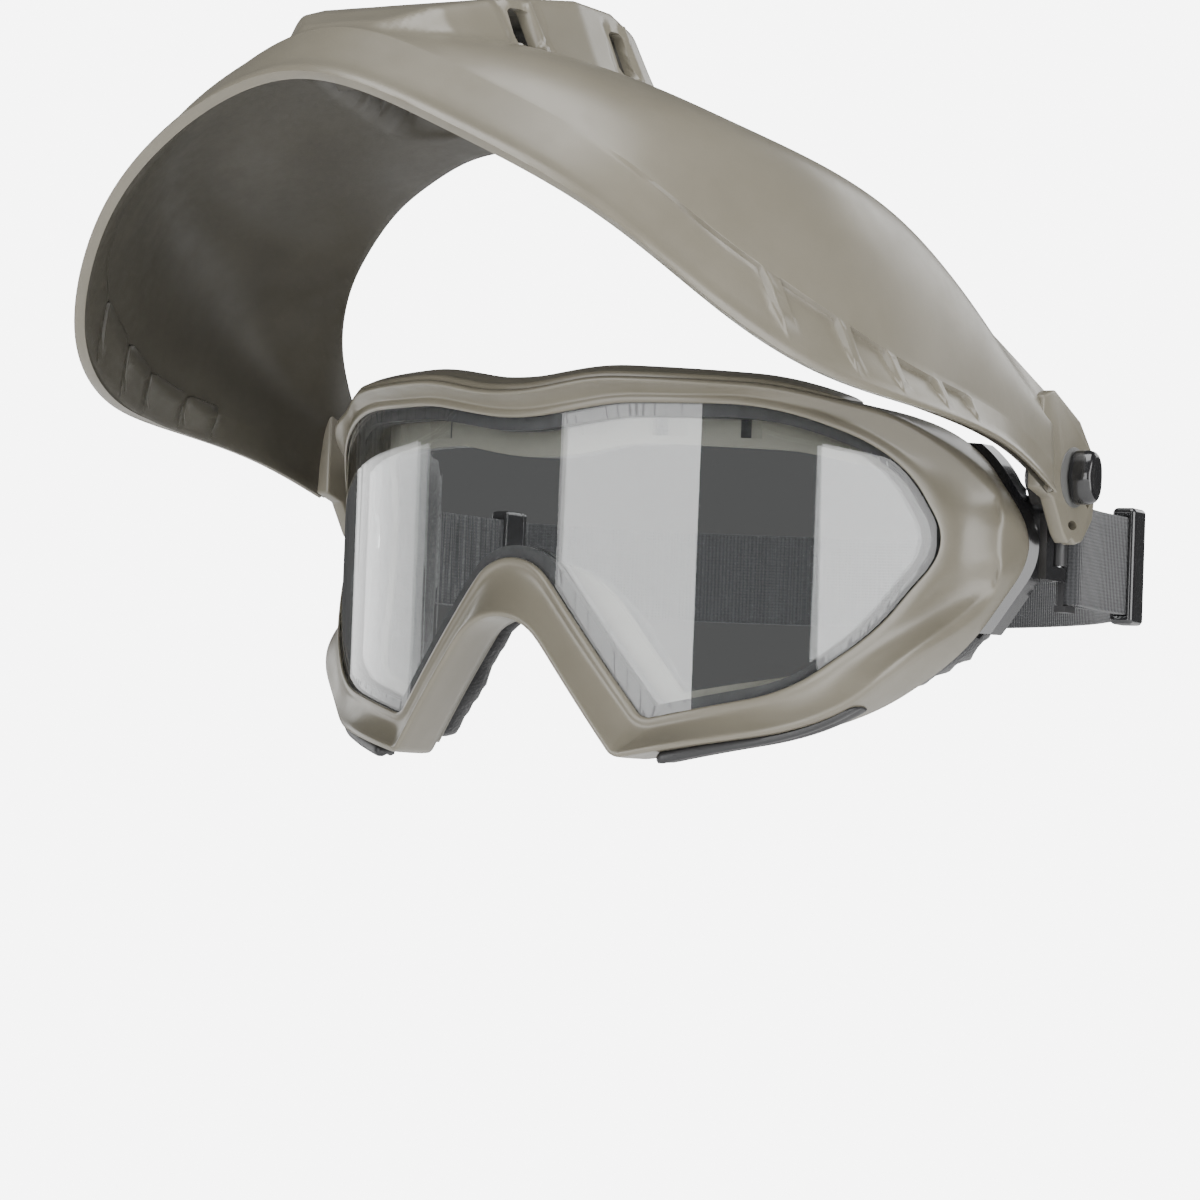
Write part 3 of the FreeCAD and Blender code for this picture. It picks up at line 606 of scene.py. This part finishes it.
def make_guard():
    sizes = bpy.context.scene.goggles_sizes
    table = guard_table(sizes)
    x, y, z = table[..., 0], table[..., 1], table[..., 2]
    normals = grid_normals(table)
    flank = (np.abs(normals[..., 0]) > 0.35) & (np.abs(x) < 48) & (z > 112.5) & (z < 127.0)
    for slot_y in SLOT_Y:
        for low, high, lift in SLOT_LIPS:
            near = (y > slot_y + low) & (y < slot_y + high) & flank
            table[near] += normals[near] * lift
    bm = grid_mesh(table)
    bm.normal_update()
    if sum(face.normal.z for face in bm.faces) < 0:
        bmesh.ops.reverse_faces(bm, faces=bm.faces[:])
    bm.normal_update()
    # material_offset 1 puts the shell's painted-shade copy on the wall's inner face.
    thickness = {"thickness": sizes.guard_wall, "offset": -1, "use_even_offset": False, "material_offset": 1,
                 "material_offset_rim": 0}
    rounding = {"width": 0.7 * MM, "segments": 2, "limit_method": "ANGLE", "angle_limit": radians(55)}
    slots = [hidden_object(box_mesh((side * SLOT_X[0], slot_y + SLOT_REACH[0], SLOT_Z[0]),
                                    (side * SLOT_X[1], slot_y + SLOT_REACH[1], SLOT_Z[1]), SLOT_ROUNDING))
             for slot_y in SLOT_Y for side in (-1, 1)]
    piece("guard_wall", bm, "guard", [look("tan_shell"), look("tan_inner")],
          ["guard_shell"],
          [("SOLIDIFY", thickness), *cuts_from(slots, "MANIFOLD"), ("BEVEL", rounding)], sharp=50)
    remove_cutters(slots)
    y0, z0 = PIVOT
    for name, side in SIDES:
        bm = prism(ARM_OUTLINE, ARM_X, ARM_X + ARM_T, 0.7)
        cutters = [ring_sector(ARM_X - 2, ARM_X + ARM_T + 2, y0, z0, 9.6, 11.0, -0.72, 0.72),
                   oval(ARM_X - 2, ARM_X + ARM_T + 2, y0, 13.0, 2.4, 1.15)]
        if side < 0:
            bm, cutters = mirror_x(bm), [mirror_x(cutter) for cutter in cutters]
        cutters = [hidden_object(cutter) for cutter in cutters]
        piece("guard_arm_" + name, bm, "guard", [look("tan_shell")],
              modifiers=cuts_from(cutters, "EXACT"), sharp=30)
        remove_cutters(cutters)
        # A thin dark grey disc round the pivot: painted shade of the recess in which the knob sits.
        shade_disc = oval(ARM_X + ARM_T - 0.3, ARM_X + ARM_T + 0.22, y0, z0, 7.6, 7.6, 0.15)
        piece("pivot_shade_disc_" + name, shade_disc if side > 0 else mirror_x(shade_disc), "guard",
              [look("painted_shade_grey")], sharp=30)
    # The breath baffle gets the shell's painted-shade copy too.
    finish_node("breath_baffle", look("tan_inner"))


# ------------------------------------------------------------------------- goggles
def lens_y(x):
    return -sqrt(LENS_R ** 2 - x ** 2)


def make_bezel():
    lens, lens_out = outline(LENS_OUTLINE)
    rim, rim_out = outline(BEZEL_OUTLINE)

    def at_lens(i, grow, dy):
        x, z = lens[i] + lens_out[i] * grow
        return x, lens_y(min(abs(x), 95)) + dy, z

    def at_rim(i, grow, place, dy=0.0):
        return rim_point(rim, rim_out, i, grow, place, dy)

    loops = []
    count = len(lens)
    for grow, dy in ((-1.2, -0.15), (-1.2, -1.0), (-0.9, -1.45), (-0.3, -1.6), (0.4, -1.5), (0.9, -1.1)):
        loops.append([at_lens(i, grow, dy) for i in range(count)])
    for t in (0.12, 0.25, 0.4, 0.55, 0.7, 0.83, 0.93):
        loop = []
        for i in range(count):
            a, b = Vector(at_lens(i, 1.0, -1.0)), Vector(at_rim(i, -1.4, "front"))
            width = (b - a).length
            sag = Vector((a.x, a.y, 0)).normalized() * (-0.075 * width * 4 * t * (1 - t))
            loop.append(tuple(a.lerp(b, t) + sag))
        loops.append(loop)
    for grow, place, dy in ((-1.3, "front", 0), (-0.7, "front", 0.05), (-0.2, "front", 0.5),
                            (0, "front", 1.2),
                            (0, "rear", -0.6), (-0.4, "rear", 0), (-3.0, "rear", 0)):
        loops.append([at_rim(i, grow, place, dy) for i in range(count)])
    for grow, dy in ((1.6, 6.0), (0.3, 5.0), (0.3, 0.2)):
        loops.append([at_lens(i, grow, dy) for i in range(count)])
    bm = ring_mesh(loops)
    piece("goggle_bezel", bm, "goggles", [look("tan_shell")], ["goggle_frame"], [subsurf()],
          sharp=60)


def pane_mesh(outer_r, thick, inset):
    """A curved pane: the outline cut into upright strips, then laid on the lens's cylinder."""
    rim, rim_out = outline(LENS_OUTLINE)
    bm = bmesh.new()
    narrow = outer_r / LENS_R
    bm.faces.new([bm.verts.new((x * narrow * MM, 0, z * MM)) for x, z in rim - rim_out * inset])
    for k in range(-60, 61):
        bmesh.ops.bisect_plane(bm, geom=bm.verts[:] + bm.edges[:] + bm.faces[:],
                               plane_co=(k * 1.5 * MM + 1e-7, 0, 0), plane_no=(1, 0, 0))
    out = bmesh.ops.extrude_face_region(bm, geom=bm.faces[:])
    back = {g for g in out["geom"] if isinstance(g, bmesh.types.BMVert)}
    for vert in bm.verts:
        turn = np.arcsin(vert.co.x / (outer_r * MM))
        radius = (outer_r - thick if vert in back else outer_r) * MM
        vert.co.x, vert.co.y = radius * sin(turn), -radius * cos(turn)
    bmesh.ops.recalc_face_normals(bm, faces=bm.faces[:])
    return bm


def make_lenses():
    piece("lens_pane", pane_mesh(LENS_R, PANE_T, 0.05), "goggles", [look("clear_lens")],
          ["lens_outer"], sharp=30)
    piece("lens_inner_pane", pane_mesh(LENS_R - PANE_T - AIR_GAP, INNER_T, 1.0), "goggles",
          [look("clear_inner")], ["lens_inner"], sharp=30)
    finish_node("lens_spacer", look("black_rubber"))
    finish_node("lens_retainer", look("dark_plastic"))


def make_foam():
    """The face foam: a copy of its solid, remeshed and swollen as cloth."""
    node = frame["nodes"]["face_foam"]
    bm = bmesh.new()
    bm.from_mesh(node.data)
    bmesh.ops.remove_doubles(bm, verts=bm.verts[:], dist=1e-6)
    made = piece("face_cushion", bm, "goggles", [look("face_foam")], ["face_foam"],
                 [("REMESH", {"mode": "VOXEL", "voxel_size": 0.0032})], sharp=0)
    swell(made)
    smoother = bmesh.new()
    smoother.from_mesh(made.data)
    for _ in range(4):
        bmesh.ops.smooth_vert(smoother, verts=smoother.verts[:], factor=0.5, use_axis_x=True,
                              use_axis_y=True, use_axis_z=True)
    smoother.to_mesh(made.data)
    smoother.free()
    made.data.shade_smooth()


def swell(made):
    """Blows the foam up a little as cloth, its glued face held."""
    rest = [v.co.copy() for v in made.data.vertices]
    held = made.vertex_groups.new(name="glued")
    held.add([v.index for v in made.data.vertices if v.normal.y < -0.3], 1.0, "ADD")
    cloth = made.modifiers.new("Cloth", "CLOTH")
    cloth.settings.use_pressure = True
    cloth.settings.uniform_pressure_force = 40
    cloth.settings.mass = 0.01
    cloth.settings.tension_stiffness = cloth.settings.compression_stiffness = 5
    cloth.settings.shear_stiffness = 2
    cloth.settings.effector_weights.gravity = 0
    cloth.settings.vertex_group_mass = "glued"
    cloth.settings.pin_stiffness = 1
    cloth.point_cache.frame_start, cloth.point_cache.frame_end = 1, 14
    for step in range(1, 15):
        bpy.context.scene.frame_set(step)
    graph = bpy.context.evaluated_depsgraph_get()
    swollen = bpy.data.meshes.new_from_object(made.evaluated_get(graph), depsgraph=graph)
    cap = 0.9 * MM
    for vert, old in zip(swollen.vertices, rest):
        move = vert.co - old
        if move.length > cap:
            vert.co = old + move.normalized() * cap
    made.modifiers.clear()
    made.vertex_groups.clear()
    made.data = swollen
    bpy.context.scene.frame_set(1)


def rim_point(rim, rim_out, i, grow, place, dy):
    """A point by the bezel's outline: grown outwards, at the bezel's front or rear edge."""
    x, z = rim[i] + rim_out[i] * grow
    rear = read(FRAME_REAR, x)
    front = min(read(BEZEL_FRONT, x), rear - 2.6)
    return x, (front if place == "front" else rear) + dy, z


def edge_strip(chosen, section):
    """A bar that follows the bezel's outline, its section given for each share of its length."""
    rim, rim_out = outline(BEZEL_OUTLINE, 10, 9)
    picked = [i for i in range(len(rim)) if chosen(*rim[i])]
    rings = []
    for k, i in enumerate(picked):
        rings.append([rim_point(rim, rim_out, i, grow, "front", dy)
                      for grow, dy in section(k / (len(picked) - 1))])
    return closed_mesh(rings)


def hood_section(share):
    """The brow hood's section: highest in the middle, sinking into the bezel at its ends."""
    rise = 3.5 * sin(pi * min(1, max(0, share))) ** 0.45
    return [(-0.9, 0.9), (0.25 + 0.1 * rise, 1.3), (0.4 + 0.34 * rise, 2.0), (0.3 + 0.36 * rise, 2.8),
            (0.3 + 0.62 * rise, 4.0), (0.3 + 0.92 * rise, 6.6), (0.3 + rise, 9.5), (0.3 + 0.97 * rise, 13.5),
            (-0.9, 14.5)]


def lip_section(share):
    """A lower vent lip's section: a slim blade that tapers towards the temple."""
    rise = 3.1 * (1 - 0.75 * share)
    return [(-0.6, 2.0), (rise * 0.75, 2.4), (rise, 3.0), (rise * 0.95, 5.2), (rise * 0.55, 5.8),
            (rise * 0.6, 7.2),
            (rise * 0.9, 7.8), (rise * 0.8, 11.0), (-0.6, 11.6)]


def gusset():
    """The ribbed rubber gusset behind the temple band."""
    rim, rim_out = outline(BEZEL_OUTLINE, 14, 14)
    picked = [i for i in range(len(rim)) if rim[i][0] > 60 and -17 < rim[i][1] < 1.5]
    table = []
    for k, i in enumerate(picked):
        share = k / (len(picked) - 1)
        depth = 14.0 - 11.5 * share ** 1.3
        row = []
        for t in np.linspace(0, 1, 25):
            groove = sum(np.exp(-((t * depth - place) / 0.5) ** 2) for place in (3.4, 7.4))
            row.append(rim_point(rim, rim_out, i, -1.5 - 1.5 * t ** 2 - 0.9 * groove, "rear",
                                 6.3 + t * depth))
        table.append(row)
    bm = grid_mesh(table)
    bm.normal_update()
    if sum(face.normal.x for face in bm.faces) < 0:
        bmesh.ops.reverse_faces(bm, faces=bm.faces[:])
    return bm


def make_skirt():
    finish_node("face_skirt", look("skirt_rubber"))
    hood = edge_strip(lambda x, z: z > 20 and abs(x) < 74, hood_section)
    piece("brow_hood", hood, "goggles", [look("tan_shell")], ["top_vent_cover"], [subsurf()],
          sharp=60)
    wall = ("SOLIDIFY", {"thickness": 1.3 * MM, "offset": -1, "use_even_offset": False})
    for name, side in SIDES:
        lip = edge_strip(lambda x, z: 38 < x < 78 and z < -15, lambda share: lip_section(1 - share))
        piece("vent_lip_" + name, lip if side > 0 else mirror_x(lip), "goggles",
              [look("dark_plastic")], ["bottom_vent_cover_" + name], [subsurf()], sharp=60)
        fold = gusset()
        piece("skirt_gusset_" + name, fold if side > 0 else mirror_x(fold), "goggles",
              [look("black_rubber")], modifiers=[wall], sharp=50)


# --------------------------------------------------------------------------- strap
def strap_path(side):
    """The strap's middle line from its sewn tail, round the bar, to the back of the head."""
    bar_x, bar_y = CLIP
    layer, bar = 0.66, BAR_R + 0.3 + 0.65
    run = [(bar_x - layer, bar_y + y) for y in (51, 46, 38, 30, 23)]
    run += [(bar_x - 0.9, bar_y + 18), (bar_x - 1.7, bar_y + 10), (bar_x - 2.3, bar_y + 4)]
    run += [(bar_x - bar * cos(t), bar_y - bar * sin(t)) for t in np.linspace(0.1, pi - 0.1, 9)]
    run += [(bar_x + 2.3, bar_y + 4), (bar_x + 1.7, bar_y + 10), (bar_x + 0.9, bar_y + 18)]
    run += [(bar_x + layer, bar_y + y) for y in (23, 30, 38, 46)]
    points = []
    for x, y in run:
        dx, dy = x - bar_x, y - bar_y
        points.append((bar_x + dx * cos(STRAP_LEAN) - dy * sin(STRAP_LEAN),
                       bar_y + dx * sin(STRAP_LEAN) + dy * cos(STRAP_LEAN)))
    points += STRAP_REAR
    knots = chord_knots(points)
    fine = spline(knots, points, np.arange(0, knots[-1], 1.0).tolist() + [knots[-1]])
    return fine * (side, 1)


def make_straps():
    width, low, thick = 25.4, -6.2, 1.3
    levels = np.linspace(0, 1, 9)
    for name, side in SIDES:
        path = strap_path(side)
        along = chord_knots(path)
        table = np.array([[(x, y, low + width * t) for t in levels] for x, y in path])
        uv = np.array([[(s, width * t) for t in levels] for s in along])
        bm = grid_mesh(table, uv=uv)
        bmesh.ops.recalc_face_normals(bm, faces=bm.faces[:])
        thicken = {"thickness": thick * MM, "offset": 0, "use_even_offset": True}
        soften = {"width": 0.4 * MM, "segments": 2, "limit_method": "ANGLE", "angle_limit": radians(60)}
        made = piece("strap_" + name, bm, "goggles", [look("strap_webbing")],
                     ["strap", "strap_end_" + name], [("SOLIDIFY", thicken), ("BEVEL", soften)], sharp=50)
        del made["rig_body"]
        made.parent = None
        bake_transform(made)
        finish_node("slider_" + name, look("gloss_black"))


# ------------------------------------------------------------------------ hardware
def knob_profile(t):
    """Radius of the two-lobed knob, seen from outside, at an angle from upright."""
    return 5.25 + 1.55 * cos(2 * t) + 0.2 * cos(4 * t) + 0.7 * max(0.0, -sin(t)) ** 6


def make_hardware():
    y0, z0 = PIVOT
    start = ARM_X + ARM_T + 0.3
    steps = [2 * pi * k / 48 for k in range(48)]
    for name, side in SIDES:
        rings = []
        for x, share in ((0, 0.94), (0.5, 1), (2.4, 0.99), (4.4, 0.98), (5.5, 0.92), (6.1, 0.8), (6.2, 0.6),
                         (5.9, 0.4), (5.8, 0.2)):
            rings.append([(side * (start + x), y0 + knob_profile(t) * share * sin(t),
                           z0 + knob_profile(t) * share * cos(t)) for t in steps])
        piece("wing_knob_" + name, closed_mesh(rings), "knob_" + name, [look("gloss_black")],
              ["pivot_knob_" + name], [subsurf()], sharp=60)
        for node, kind in (("knob_insert_", "brass"), ("pivot_bolt_", "steel"),
                           ("friction_washer_", "washer_nylon"),
                           ("temple_bracket_", "gloss_black"), ("strap_clip_", "dark_plastic"),
                           ("clip_pin_", "steel")):
            finish_node(node + name, look(kind))
    finish_node("bracket_screws", look("steel"))


# --------------------------------------------------------------------------- stage
def make_stage():
    stage = bpy.context.scene.goggles_stage
    bm = bmesh.new()
    bmesh.ops.create_circle(bm, cap_ends=True, segments=96, radius=stage.floor_radius)
    bmesh.ops.translate(bm, verts=bm.verts[:], vec=(0, 0, stage.floor_height))
    mesh = bpy.data.meshes.new("floor")
    bm.to_mesh(mesh)
    bm.free()
    floor = bpy.data.objects.new("floor", mesh)
    bpy.context.scene.collection.objects.link(floor)
    pale = Nodes("pale_floor")
    pale.link(pale.blend(pale.spread(pale.noise(3), 0, 1), (0.86, 0.86, 0.86), (0.88, 0.88, 0.88)),
              pale.shader.inputs["Base Color"])
    pale.set(roughness=0.8, emission_color=(1, 1, 1, 1), emission_strength=0.3)
    mesh.materials.append(pale.material)

    world = bpy.data.worlds.new("studio")
    bpy.context.scene.world = world
    world.use_nodes = True
    sky = world.node_tree.nodes["Background"]
    sky.inputs["Color"].default_value = (1, 1, 1, 1)
    path = world.node_tree.nodes.new("ShaderNodeLightPath")
    strength = world.node_tree.nodes.new("ShaderNodeMapRange")
    strength.inputs["To Min"].default_value = stage.sky_strength
    strength.inputs["To Max"].default_value = stage.backdrop_strength
    world.node_tree.links.new(path.outputs["Is Camera Ray"], strength.inputs["Value"])
    world.node_tree.links.new(strength.outputs["Result"], sky.inputs["Strength"])
    for name, turn, height, reach, size, glow in (
            ("front_softbox", 5, 0.10, 1.25, (0.95, 1.0), 5.0),
            ("side_softbox", 80, 0.10, 1.25, (0.85, 1.0), 6.0),
            ("far_softbox", -92, 0.10, 1.25, (0.95, 1.0), 2.5),
            ("top_softbox", 25, 1.35, 0.55, (1.1, 1.1), 6.5),
            ("back_softbox", 165, 0.8, 1.5, (1.2, 0.8), 2.5)):
        place = (reach * sin(radians(turn)), -reach * cos(radians(turn)), height)
        power = glow * size[0] * size[1] * pi
        lamp = bpy.data.lights.new(name, "AREA")
        lamp.shape = "RECTANGLE"
        lamp.size, lamp.size_y = size
        lamp.energy = power
        holder = bpy.data.objects.new(name, lamp)
        holder.location = place
        holder.rotation_euler = (-Vector(place)).to_track_quat("-Z", "Y").to_euler()
        bpy.context.scene.collection.objects.link(holder)

    a, e, r = stage.azimuth, stage.elevation, stage.roll
    back = Vector((sin(a) * cos(e), -cos(a) * cos(e), sin(e)))
    level = Vector((cos(a), sin(a), 0))
    up = back.cross(level)
    right = level * cos(r) + up * sin(r)
    top = up * cos(r) - level * sin(r)
    aim = level * stage.aim_aside + Vector((0, 0, stage.aim_height))
    camera = bpy.data.objects.new("camera", bpy.data.cameras.new("camera"))
    camera.data.sensor_width = 36
    camera.data.lens = stage.lens
    camera.data.clip_end = 60
    turn = Matrix((right, top, back)).transposed().to_4x4()
    camera.matrix_world = Matrix.Translation(aim + back * stage.distance) @ turn
    bpy.context.scene.collection.objects.link(camera)
    bpy.context.scene.camera = camera


# ------------------------------------------------------------------ settings, panel
class GogglesSizes(bpy.types.PropertyGroup):
    guard_wall: bpy.props.FloatProperty(
        name="Guard wall", description="Thickness of the guard's wall", default=0.0026, unit="LENGTH")
    rim_bead: bpy.props.FloatProperty(
        name="Rim bead", description="How far the guard's rim bead stands out", default=0.0006, unit="LENGTH")


class GogglesLooks(bpy.types.PropertyGroup):
    shell_colour: bpy.props.FloatVectorProperty(
        name="Shell colour", description="Colour of the guard and the bezel", size=3, subtype="COLOR",
        min=0, max=1, default=(0.160, 0.146, 0.112))


class GogglesStage(bpy.types.PropertyGroup):
    floor_height: bpy.props.FloatProperty(
        name="Floor height", description="Where the floor lies below the goggles",
        default=-0.25, unit="LENGTH")
    floor_radius: bpy.props.FloatProperty(
        name="Floor radius", description="Radius of the floor", default=1.0, unit="LENGTH")
    sky_strength: bpy.props.FloatProperty(
        name="Sky strength", description="Strength of the even light from all round", default=0.1)
    backdrop_strength: bpy.props.FloatProperty(
        name="Backdrop", description="Strength of the backdrop as the camera sees it", default=7.0)
    azimuth: bpy.props.FloatProperty(
        name="Azimuth", description="Camera's turn round the goggles",
        default=radians(31.845), subtype="ANGLE")
    elevation: bpy.props.FloatProperty(
        name="Elevation", description="Camera's angle above eye level",
        default=radians(-2.892), subtype="ANGLE")
    roll: bpy.props.FloatProperty(
        name="Roll", description="Camera's turn about its own axis", default=radians(2.144), subtype="ANGLE")
    distance: bpy.props.FloatProperty(
        name="Distance", description="From the camera to the goggles", default=1.3, unit="LENGTH")
    aim_aside: bpy.props.FloatProperty(
        name="Aim aside", description="How far to the side the camera aims", default=-0.029282, unit="LENGTH")
    aim_height: bpy.props.FloatProperty(
        name="Aim height", description="Height the camera aims at", default=-0.00678, unit="LENGTH")
    lens: bpy.props.FloatProperty(
        name="Lens", description="Camera's focal length in mm", default=148.2, unit="CAMERA")


def operator(name, label, note, work):
    """An operator class that runs one of the makers."""
    def execute(self, context):
        work()
        return {"FINISHED"}
    return type("GOGGLES_OT_" + name, (bpy.types.Operator,), {
        "bl_idname": "goggles." + name, "bl_label": label, "bl_options": {"REGISTER", "UNDO"},
        "__doc__": note, "execute": execute})


OPERATORS = [
    operator("make_stage", "Stage", "Makes the floor, the lamps and the camera", make_stage),
    operator("make_guard", "Guard", "Makes the flip-up guard with its breath box and arms", make_guard),
    operator("make_bezel", "Bezel", "Makes the goggles' bezel", make_bezel),
    operator("make_lenses", "Lenses", "Makes both panes and finishes their rings", make_lenses),
    operator("make_skirt", "Skirt", "Finishes the skirt and the vent covers", make_skirt),
    operator("make_foam", "Foam", "Makes the face foam", make_foam),
    operator("make_straps", "Strap", "Makes the elastic strap and finishes its sliders", make_straps),
    operator("make_hardware", "Hardware", "Makes the knobs and finishes the pivots and clips", make_hardware),
]


class GOGGLES_PT_panel(bpy.types.Panel):
    """Lists the goggles' sizes, colours and pieces"""
    bl_idname = "GOGGLES_PT_panel"
    bl_label = "Goggles"
    bl_space_type = "VIEW_3D"
    bl_region_type = "UI"
    bl_category = "Goggles"

    def draw(self, context):
        for group in (context.scene.goggles_sizes, context.scene.goggles_looks, context.scene.goggles_stage):
            for key in group.__annotations__:
                self.layout.prop(group, key)
        for kind in OPERATORS:
            self.layout.operator(kind.bl_idname)


GROUPS = {"goggles_sizes": GogglesSizes, "goggles_looks": GogglesLooks, "goggles_stage": GogglesStage}


def register():
    for name, group in GROUPS.items():
        bpy.utils.register_class(group)
        setattr(bpy.types.Scene, name, bpy.props.PointerProperty(type=group))
    for kind in (*OPERATORS, GOGGLES_PT_panel):
        bpy.utils.register_class(kind)


def unregister():
    for kind in (GOGGLES_PT_panel, *reversed(OPERATORS)):
        bpy.utils.unregister_class(kind)
    for name, group in GROUPS.items():
        delattr(bpy.types.Scene, name)
        bpy.utils.unregister_class(group)


def main():
    register()
    for kind in OPERATORS:
        getattr(bpy.ops.goggles, kind.bl_idname.split(".")[1])()


if __name__ == "__main__":
    main()
